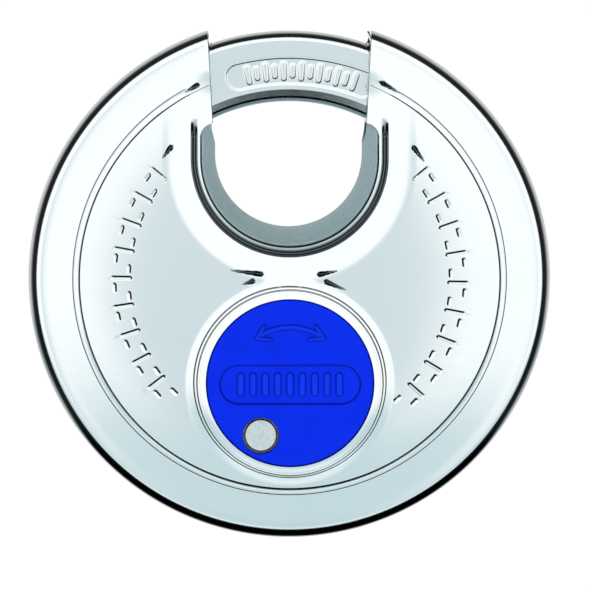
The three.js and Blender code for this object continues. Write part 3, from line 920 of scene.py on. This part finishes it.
def liner_rows(widths, slopes, depths, tops, outward):
    """U-shaped rows from the front to the back; outward is -1 for the inside and 1 for the outside."""
    turns = np.linspace(math.pi, 2 * math.pi, 90)
    rows, row_normals = [], []
    for w, slope, depth, top in zip(widths, slopes, depths, tops):
        rise = np.linspace(top, NOTCH_Z, LINER_RISE_COUNT + 1)[:-1]
        edge = np.full(LINER_RISE_COUNT, w)
        x = np.concatenate([-edge, w * np.cos(turns), edge])
        z = np.concatenate([rise, NOTCH_Z + w * np.sin(turns), rise[::-1]])
        rows.append(columns(x, depth, z))
        out = unit(columns(x, 0, np.minimum(z - NOTCH_Z, 0))) * outward
        out[:, 1] = slope
        row_normals.append(unit(out))
    return rows, row_normals


def liner_shade(x, depth, z):
    """Painted shade on the liner's outer edge, which the shell's lip hides."""
    return (notch_distance(x, z) - LINER_EDGE_R - 0.02) / 0.1


def liner_piece(material):
    """Hourglass sleeve: narrow on the mid-plane, with an arched opening for the shackle."""
    depths = np.concatenate([
        np.linspace(-LINER_FRONT, -APERTURE_HALF, 9)[:-1],
        np.linspace(-APERTURE_HALF, APERTURE_HALF, 41),
        np.linspace(APERTURE_HALF, LINER_FRONT, 9)[1:],
    ])
    arch = np.sqrt(clamp(1 - (depths / APERTURE_HALF) ** 2))
    tops = LINER_TOP_Z - (LINER_TOP_Z - APERTURE_FOOT_Z) * arch
    flare = LINER_EDGE_R - LINER_THROAT_R
    widths = LINER_THROAT_R + flare * (depths / LINER_FRONT) ** 2
    inner = liner_rows(widths, 2 * flare * depths / LINER_FRONT**2, depths, tops, -1)
    nothing = np.zeros(len(depths))
    outer = liner_rows(nothing + LINER_OUTER_R, nothing, depths, tops, 1)
    parts = [grid_mesh(*inner), grid_mesh(*outer)]
    for end, side in ((0, -1), (-1, 1)):
        flat = np.tile([0.0, side, 0.0], (len(inner[0][end]), 1))
        parts.append(grid_mesh([inner[0][end], outer[0][end]], [flat, flat]))
    up = np.tile([0.0, 0.0, 1.0], (len(depths), 1))
    for end in (0, -1):
        edges = [np.array([row[end] for row in rows]) for rows in (inner[0], outer[0])]
        parts.append(grid_mesh(edges, [up, up]))
    piece = skin_mesh("liner_sleeve", parts)
    # painted shade on the liner's outer edge, stored as a vertex attribute
    painted_light_attribute(piece, "painted_shade", liner_shade)
    return finish_piece(piece, "case", material, ["notch_liner"])


# ---------------------------------------------------------------- cover over the keyhole
COVER_R = 11.15
COVER_EDGE = 0.2
COVER_TOP_R = COVER_R - COVER_EDGE
COVER_INNER_R = COVER_R - 0.5
COVER_ROOF = 12.4
COVER_FRONT = -cover_low.y
COVER_BACK = -cover_high.y
COVER_FLANGE_R = (cover_high.x - cover_low.x) / 2
COVER_FLANGE_FRONT = 11.55
WINDOW_R = 2.4
WINDOW_EDGE = 0.1
WINDOW = np.array([
    (button_low.x + button_high.x) / 2,
    (button_low.z + button_high.z) / 2 - BOSS_Z,
])
WINDOW_COUNT = 72
COVER_COUNT = 200
ARROW_R = 7.5
ARROW_HALF_TURN = 30
ARROW_HALF_WIDTH = 0.3
ARROW_LENGTH = 1.9
ARROW_RAISE = 0.17
ARROW_TIP_TURN = 37
ARROW_LEAN = 11
ARROW_SPREAD = 0.54
RELIEF_RAMP = 0.26
PLATE_HALF = (9.4, 2.6)
PLATE_Z = -0.2
PLATE_CUT = 0.2
RIB_COUNT = 9
RIB_SPAN = 6.6
RIB_HALF = 1.15
RIB_REACH = 0.55
FINE_PITCH = 0.1
COARSE_PITCH = 0.7


def arrow_strokes():
    """Straight strokes for the two open arrowheads of the turning arrow."""
    strokes = []
    for side in (-1, 1):
        tip_angle = 90 - side * ARROW_TIP_TURN
        tip = polar(ARROW_R, tip_angle)
        along = math.radians(tip_angle + side * (90 + ARROW_LEAN))
        for turn in (along - ARROW_SPREAD, along + ARROW_SPREAD):
            away = np.array([math.cos(turn), math.sin(turn)])
            strokes.append((tip, tip + away * ARROW_LENGTH))
    return strokes


def cover_depth(x, z):
    """Depth of the cover's face over a point measured from its own centre."""
    turn = np.degrees(np.arctan2(x, z))
    past_end = np.radians(np.clip(np.abs(turn) - ARROW_HALF_TURN, 0, None)) * ARROW_R
    away = np.hypot(np.hypot(x, z) - ARROW_R, past_end)
    for start, end in arrow_strokes():
        away = np.minimum(away, stroke_place(x, z, start, end)[1] + 0.06)
    arrow = ARROW_RAISE * ease((ARROW_HALF_WIDTH + RELIEF_RAMP / 2 - away) / RELIEF_RAMP)
    over_x = np.clip(np.abs(x) - (PLATE_HALF[0] - PLATE_HALF[1]), 0, None)
    from_frame = PLATE_HALF[1] - np.hypot(over_x, z - PLATE_Z)
    plate = PLATE_CUT * ease((from_frame + RELIEF_RAMP / 2) / RELIEF_RAMP)
    depth = COVER_FRONT + arrow - plate
    tall = np.clip(np.abs(z - PLATE_Z) - RIB_HALF, 0, None)
    for place in np.linspace(-RIB_SPAN, RIB_SPAN, RIB_COUNT):
        depth = depth + PLATE_CUT * ease((RIB_REACH - np.hypot(x - place, tall)) / RELIEF_RAMP)
    return depth


def cover_slopes(x, z):
    h = RELIEF_STEP
    slope_x = (cover_depth(x + h, z) - cover_depth(x - h, z)) / (2 * h)
    return slope_x, (cover_depth(x, z + h) - cover_depth(x, z - h)) / (2 * h)


def grid_points(half_x, low_z, high_z, pitch):
    grids = np.meshgrid(np.arange(-half_x, half_x + 0.1, pitch), np.arange(low_z, high_z, pitch))
    return np.stack([grid.ravel() for grid in grids], axis=1)


def cover_top():
    """The cover's face, with fine points where it has relief and coarse ones elsewhere."""
    coarse = grid_points(11, -11, 11.1, COARSE_PITCH)
    side, height = np.abs(coarse[:, 0]), coarse[:, 1]
    on_plate = np.abs(height + 0.15) <= 3.4
    on_arrow = (side < 7) & (height > 3.9) & (height < 8.9)
    points = np.concatenate([
        grid_points(10.2, -3.2, 2.9, FINE_PITCH),
        grid_points(6.6, 4.2, 8.6, FINE_PITCH),
        coarse[~on_plate & ~on_arrow],
    ])
    from_window = np.hypot(*(points - WINDOW).T)
    keep = (np.hypot(*points.T) < COVER_TOP_R - 0.08) & (from_window > WINDOW_R + 2 * WINDOW_EDGE)
    loops = [
        ring_points(COVER_TOP_R, COVER_COUNT),
        ring_points(WINDOW_R + WINDOW_EDGE, WINDOW_COUNT) + WINDOW,
    ]
    flat, faces = triangulate(loops, [], points[keep])
    middles = flat[faces].mean(axis=1)
    faces = faces[np.hypot(*(middles - WINDOW).T) > WINDOW_R + WINDOW_EDGE - 0.01]
    x, z = flat.T
    slope_x, slope_z = cover_slopes(x, z)
    normals = unit(columns(-slope_x, -1, -slope_z))
    surface = columns(x, -cover_depth(x, z), z + BOSS_Z)
    return surface, turned_out(surface, faces, normals), normals


def cover_outside():
    """The cover's rounded edge and its flange."""
    profile = [
        (COVER_TOP_R + COVER_EDGE * math.sin(t), COVER_EDGE * (1 - math.cos(t)) - COVER_FRONT,
         math.sin(t), -math.cos(t))
        for t in np.linspace(0, QUARTER, 5)
    ]
    profile += [
        (COVER_R, -COVER_FLANGE_FRONT, 1, 0),
        (COVER_R, -COVER_FLANGE_FRONT, 0, -1),
        (COVER_FLANGE_R, -COVER_FLANGE_FRONT, 0, -1),
        (COVER_FLANGE_R, -COVER_FLANGE_FRONT, 1, 0),
        (COVER_FLANGE_R, -COVER_BACK, 1, 0),
        (COVER_FLANGE_R, -COVER_BACK, 0, 1),
        (COVER_INNER_R, -COVER_BACK, 0, 1),
        (COVER_INNER_R, -COVER_BACK, -1, 0),
        (COVER_INNER_R, -COVER_ROOF, -1, 0),
    ]
    return lathe_strip(profile, BOSS_Z, COVER_COUNT)


def at_window(part):
    """A part turned about the boss's centre, moved to the window."""
    points, faces, normals = part
    return points + (WINDOW[0], 0, WINDOW[1]), faces, normals


def cover_window():
    """The rounded edge and the wall of the window."""
    return at_window(lathe_strip([
        (WINDOW_R + WINDOW_EDGE, -COVER_FRONT, 0, -1),
        (WINDOW_R + 0.03, 0.03 - COVER_FRONT, -1, -1),
        (WINDOW_R, WINDOW_EDGE - COVER_FRONT, -1, 0),
        (WINDOW_R, -COVER_ROOF, -1, 0),
    ], BOSS_Z, WINDOW_COUNT))


def on_cover_front(x, depth, z):
    return (depth < -COVER_FRONT + 0.3) & (np.hypot(x, z) < COVER_R - 0.3)


def relief_painted_shade(x, depth, z):
    """Painted shade: 1 on the window's wall, and up to 0.8 where the relief on the cover's front is steep."""
    z = z - BOSS_Z
    steep = np.clip(np.hypot(*cover_slopes(x, z)), 0, 0.8)
    wall = np.hypot(x - WINDOW[0], z - WINDOW[1]) < WINDOW_R + 0.06
    return np.where(wall, 1.0, np.where(on_cover_front(x, depth, z), steep, 0))


def relief_painted_highlight(x, depth, z):
    """Painted highlight: up to 0.35 on the tops of the ribs and of the arrow."""
    z = z - BOSS_Z
    base = COVER_FRONT - PLATE_CUT * (np.abs(z - PLATE_Z) < PLATE_HALF[1])
    top = clamp((cover_depth(x, z) - base) / PLATE_CUT) * 0.35
    return np.where(on_cover_front(x, depth, z) & (np.abs(x) < 7.6), top, 0)


def cover_piece(material):
    piece = skin_mesh("cover_disc", [cover_top(), cover_outside(), cover_window()])
    # painted shade on the relief's flanks and the window's wall, and a painted highlight on the relief's tops
    painted_light_attribute(piece, "painted_shade", relief_painted_shade)
    painted_light_attribute(piece, "raised", relief_painted_highlight)
    return finish_piece(piece, "cover", material, ["keyhole_cover"])


def button_piece(material):
    """Steel button in the cover's window, with a bright turned edge."""
    front = -button_low.y
    radius = (button_high.x - button_low.x) / 2
    part = lathe_strip([
        (0.02, -front, 0, -1),
        (radius * 0.45, -front, 0, -1),
        (radius - 0.13, -front, 0, -1),
        (radius - 0.13, -front, 0.35, -1),
        (radius - 0.04, 0.05 - front, 0.6, -0.8),
        (radius, 0.14 - front, 1, 0),
        (radius, button_high.y, 1, 0),
    ], BOSS_Z, WINDOW_COUNT)
    piece = skin_mesh("button_stud", [at_window(part)])
    return finish_piece(piece, "case", material, ["index_button"])


# ---------------------------------------------------------------- materials
def node_material(name, color, metallic, roughness):
    material = bpy.data.materials.new(name)
    material.use_nodes = True
    shader = material.node_tree.nodes["Principled BSDF"]
    shader.inputs["Base Color"].default_value = (*color, 1)
    shader.inputs["Metallic"].default_value = metallic
    shader.inputs["Roughness"].default_value = roughness
    return material, material.node_tree, shader


def object_coords(tree, stretch=None):
    coords = tree.nodes.new("ShaderNodeTexCoord").outputs["Object"]
    if stretch is None:
        return coords
    mapping = tree.nodes.new("ShaderNodeMapping")
    mapping.inputs["Scale"].default_value = stretch
    tree.links.new(coords, mapping.inputs["Vector"])
    return mapping.outputs["Vector"]


def noise(tree, coords, scale, detail=3.0):
    node = tree.nodes.new("ShaderNodeTexNoise")
    node.inputs["Scale"].default_value = scale
    node.inputs["Detail"].default_value = detail
    node.inputs["Roughness"].default_value = 0.55
    tree.links.new(coords, node.inputs["Vector"])
    return node.outputs["Fac"]


def map_range(tree, value, low, high, from_low=0.3, from_high=0.7):
    """A value's range stretched to low and high; the defaults suit a noise's middle range."""
    node = tree.nodes.new("ShaderNodeMapRange")
    node.inputs["From Min"].default_value = from_low
    node.inputs["From Max"].default_value = from_high
    node.inputs["To Min"].default_value = low
    node.inputs["To Max"].default_value = high
    tree.links.new(value, node.inputs["Value"])
    return node.outputs["Result"]


def mix_color(tree, factor, first, second, mode="MIX"):
    """A colour mix whose inputs are numbers, colours or other nodes' outputs."""
    mix = tree.nodes.new("ShaderNodeMix")
    mix.data_type = "RGBA"
    mix.blend_type = mode
    for name, value in (("Factor", factor), ("A", first), ("B", second)):
        if isinstance(value, tuple):
            mix.inputs[name].default_value = (*value, 1)
        elif isinstance(value, float):
            mix.inputs[name].default_value = value
        else:
            tree.links.new(value, mix.inputs[name])
    return mix.outputs["Result"]


def add_bump(tree, shader, height, strength, distance=0.00003):
    bump = tree.nodes.new("ShaderNodeBump")
    bump.inputs["Strength"].default_value = strength
    bump.inputs["Distance"].default_value = distance
    tree.links.new(height, bump.inputs["Height"])
    tree.links.new(bump.outputs["Normal"], shader.inputs["Normal"])


def attribute(tree, name):
    node = tree.nodes.new("ShaderNodeAttribute")
    node.attribute_name = name
    return node.outputs["Fac"]


def polished_steel():
    """Mirror-like stamped steel, drawn lengthways, with painted shade: its base colour darkens towards near-black
    where the vertex attribute says so.
    """
    material, tree, shader = node_material("polished_steel", (0.85, 0.9, 0.91), 1.0, 0.12)
    fine = noise(tree, object_coords(tree, (1, 1, 14)), 900)
    broad = map_range(tree, noise(tree, object_coords(tree), 60), 0, 1)
    tree.links.new(map_range(tree, fine, 0.09, 0.17), shader.inputs["Roughness"])
    unshaded = mix_color(tree, broad, (0.83, 0.885, 0.9), (0.87, 0.91, 0.915))
    # painted shade: the groove, the lip low down, the wall under the lip and the creases
    dark = mix_color(tree, attribute(tree, "painted_shade"), unshaded, (0.07, 0.1, 0.11))
    tree.links.new(dark, shader.inputs["Base Color"])
    add_bump(tree, shader, fine, 0.03, 0.00002)
    return material


def liner_steel():
    """Dull grey-green sintered sleeve, with painted shade where the vertex attribute says so."""
    material, tree, shader = node_material("liner_steel", (0.35, 0.5, 0.53), 0.35, 0.5)
    grain = noise(tree, object_coords(tree), 1800, 4)
    plain = mix_color(tree, map_range(tree, grain, 0, 1), (0.33, 0.48, 0.51), (0.42, 0.58, 0.61))
    # painted shade on the edge that the shell's lip hides
    dark = mix_color(tree, attribute(tree, "painted_shade"), plain, (0.02, 0.03, 0.035))
    tree.links.new(dark, shader.inputs["Base Color"])
    add_bump(tree, shader, grain, 0.15)
    return material


def machined_metal(name, color, roughness, smooth, rough):
    """Plain metal with fine turning marks along its depth."""
    material, tree, shader = node_material(name, color, 1.0, roughness)
    grain = noise(tree, object_coords(tree, (1, 20, 1)), 700)
    tree.links.new(map_range(tree, grain, smooth, rough), shader.inputs["Roughness"])
    add_bump(tree, shader, grain, 0.1)
    return material


def button_steel():
    """Blasted steel with a faint mottle."""
    material, tree, shader = node_material("button_steel", (0.72, 0.78, 0.79), 1.0, 0.3)
    swirl = noise(tree, object_coords(tree), 1400, 4)
    tree.links.new(map_range(tree, swirl, 0.22, 0.4), shader.inputs["Roughness"])
    mottle = mix_color(tree, map_range(tree, swirl, 0, 1), (0.62, 0.7, 0.7), (0.8, 0.84, 0.84))
    tree.links.new(mottle, shader.inputs["Base Color"])
    add_bump(tree, shader, swirl, 0.2)
    return material


def cover_blue():
    """Moulded blue plastic, darker on the flanks of its relief as painted shade and paler on the tops as a painted
    highlight.
    """
    first, second = (0.0004, 0.017, 0.57), (0.0008, 0.02, 0.62)
    material, tree, shader = node_material("cover_blue", first, 0.0, 0.42)
    shader.inputs["Specular IOR Level"].default_value = 0.04
    grain = noise(tree, object_coords(tree), 2600, 2)
    broad = map_range(tree, noise(tree, object_coords(tree), 250), 0, 1)
    plain = mix_color(tree, broad, first, second)
    # painted shade on the relief's flanks and the window's wall
    with_painted_shade = mix_color(tree, attribute(tree, "painted_shade"), plain, (0.0, 0.004, 0.16))
    # painted highlight on the tops of the ribs and of the arrow
    raised = mix_color(tree, attribute(tree, "raised"), with_painted_shade, (0.006, 0.045, 0.72))
    tree.links.new(raised, shader.inputs["Base Color"])
    tree.links.new(map_range(tree, grain, 0.38, 0.5), shader.inputs["Roughness"])
    add_bump(tree, shader, grain, 0.12, 0.00002)
    return material


STEEL = polished_steel()
LINER = liner_steel()
HARD = machined_metal("hardened_steel", (0.42, 0.45, 0.46), 0.35, 0.25, 0.5)
BRASS = machined_metal("core_brass", (0.72, 0.5, 0.18), 0.3, 0.2, 0.45)
BLUE = cover_blue()
BUTTON = button_steel()

shell_piece("front_face", -1, STEEL, "front_shell")
shell_piece("back_face", 1, STEEL, "back_shell")
seam_bead(HARD)
shackle_piece(STEEL)
liner_piece(LINER)
cover_piece(BLUE)
button_piece(BUTTON)

finishes = {
    "core_brass": BRASS,
    "cover_blue": BLUE,
    "hardened_steel": HARD,
    "liner_steel": LINER,
    "polished_steel": STEEL,
}
node_slots = {part["node"]: part["material_slot"] for part in frame["record"]["subparts"]}
for node_name, node in frame["nodes"].items():
    for material_slot in node.material_slots:
        material_slot.material = finishes[node_slots[node_name]]


# ---------------------------------------------------------------- surroundings
LOBE_DIP = math.radians(5)
LOBE_OUTER = 11
LOBE_INNER = 7
FLOOR_SIZE = 12
FLOOR_DROP = 0.11
FLOOR_GLOW = 0.72
LAMP_SIZE = 0.4
CAMERA_TURN = math.radians(-1.0)
CAMERA_RISE = math.radians(4.7)
CAMERA_DISTANCE = 1.2
PICTURE_WIDTH = 0.0796  # what the picture spans at the lock
PICTURE_MIDDLE = (0.88, -2.93)  # mm from the disc's centre


def ramp_of(tree, value, stops):
    """A colour ramp through (place, grey or colour) stops."""
    ramp = tree.nodes.new("ShaderNodeValToRGB")
    tree.links.new(value, ramp.inputs["Fac"])
    elements = ramp.color_ramp.elements
    for place, _ in stops[1:-1]:
        elements.new(place)
    for element, (place, color) in zip(elements, stops):
        element.position = place
        element.color = (*color, 1) if isinstance(color, tuple) else (color, color, color, 1)
    return ramp.outputs["Color"]


def off_axis(degrees):
    """Place on a 0 to 1 scale of the angle away from straight in front."""
    return (1 - math.cos(math.radians(degrees))) / 2


def elevation(degrees):
    """Place on a 0 to 1 scale of height, from straight down to straight up."""
    return (1 + math.sin(math.radians(degrees))) / 2


def lobe(tree, coords, direction, outer, inner):
    """1 within the inner angle of a direction, falling to 0 at the outer one, in degrees."""
    dot = tree.nodes.new("ShaderNodeVectorMath")
    dot.operation = "DOT_PRODUCT"
    tree.links.new(coords, dot.inputs[0])
    dot.inputs[1].default_value = direction
    low, high = math.cos(math.radians(outer)), math.cos(math.radians(inner))
    return map_range(tree, dot.outputs["Value"], 0, 1, low, high)


def direction_world():
    """Studio light as a function of direction.

    A broad white front with a pale grey-blue middle, dark sides, and white behind. Low down the
    front is grey-blue, then white, then dark.
    """
    world = bpy.data.worlds.new("studio")
    scene.world = world
    world.use_nodes = True
    tree = world.node_tree
    coords = tree.nodes.new("ShaderNodeTexCoord").outputs["Generated"]
    split = tree.nodes.new("ShaderNodeSeparateXYZ")
    tree.links.new(coords, split.inputs["Vector"])
    back, high = split.outputs["Y"], split.outputs["Z"]
    round_about = ramp_of(tree, map_range(tree, back, 0, 1, -1, 1), (
        (0.0, 1.0), (off_axis(36), 1.0), (off_axis(42), 0.012), (off_axis(80), 0.014),
        (off_axis(90), 0.1), (off_axis(98), 0.2), (off_axis(107), 0.45), (off_axis(140), 0.6),
        (off_axis(166), 0.7), (off_axis(172), 1.0), (1.0, 1.0),
    ))
    pale = (0.56, 0.68, 0.71)
    up_down = ramp_of(tree, map_range(tree, high, 0, 1, -1, 1), (
        (0.0, 0.01), (elevation(-41), 0.012), (elevation(-35), (0.6, 0.7, 0.73)),
        (elevation(-29), (0.85, 0.92, 0.94)), (elevation(-22), pale), (elevation(-15), pale),
        (elevation(-10), 1.0), (1.0, 1.0),
    ))
    shaded = mix_color(tree, map_range(tree, back, 0, 1, 0.5, 0.62), up_down, (1.0, 1.0, 1.0))
    ahead = (0, -math.cos(LOBE_DIP), -math.sin(LOBE_DIP))
    middle = lobe(tree, coords, ahead, LOBE_OUTER, LOBE_INNER)
    front = mix_color(tree, middle, (1.15, 1.15, 1.15), (0.72, 0.81, 0.835))
    lit = mix_color(tree, 1.0, front, shaded, "MULTIPLY")
    total = mix_color(tree, 1.0, lit, round_about, "MULTIPLY")
    tree.links.new(total, tree.nodes["Background"].inputs["Color"])


def stage_floor():
    """Pale floor below and behind the lock, which the steel doesn't reflect."""
    bpy.ops.mesh.primitive_plane_add(size=FLOOR_SIZE, location=(0, 5, DISC_Z - FLOOR_DROP))
    floor = bpy.context.object
    floor.name = "floor"
    material, _, shader = node_material("floor", (0.92, 0.92, 0.92), 0, 0.9)
    shader.inputs["Emission Color"].default_value = (1, 1, 1, 1)
    shader.inputs["Emission Strength"].default_value = FLOOR_GLOW
    floor.data.materials.append(material)
    floor.visible_glossy = False


def soft_light(name, place, power):
    """A square lamp that looks at the disc's centre."""
    light = bpy.data.lights.new(name, "AREA")
    light.size = LAMP_SIZE
    light.energy = power
    lamp = bpy.data.objects.new(name, light)
    scene.collection.objects.link(lamp)
    lamp.location = place
    aim = Vector((0, 0, DISC_Z)) - Vector(place)
    lamp.rotation_euler = aim.to_track_quat("-Z", "Y").to_euler()
    lamp.visible_glossy = False


def make_camera():
    aim = Vector((PICTURE_MIDDLE[0], 0, PICTURE_MIDDLE[1])) * MM + Vector((0, 0, DISC_Z))
    data = bpy.data.cameras.new("camera")
    data.sensor_width = 36
    data.lens = data.sensor_width * CAMERA_DISTANCE / PICTURE_WIDTH
    camera = bpy.data.objects.new("camera", data)
    scene.collection.objects.link(camera)
    away = Vector((
        math.sin(CAMERA_TURN) * math.cos(CAMERA_RISE),
        -math.cos(CAMERA_TURN) * math.cos(CAMERA_RISE),
        math.sin(CAMERA_RISE),
    ))
    camera.location = aim + away * CAMERA_DISTANCE
    camera.rotation_euler = (-away).to_track_quat("-Z", "Y").to_euler()
    scene.camera = camera


direction_world()
stage_floor()
soft_light("key", (-0.25, -0.5, 0.3), 2)
soft_light("fill", (0.3, -0.5, 0.0), 1)
make_camera()
scene.view_settings.view_transform = "Standard"
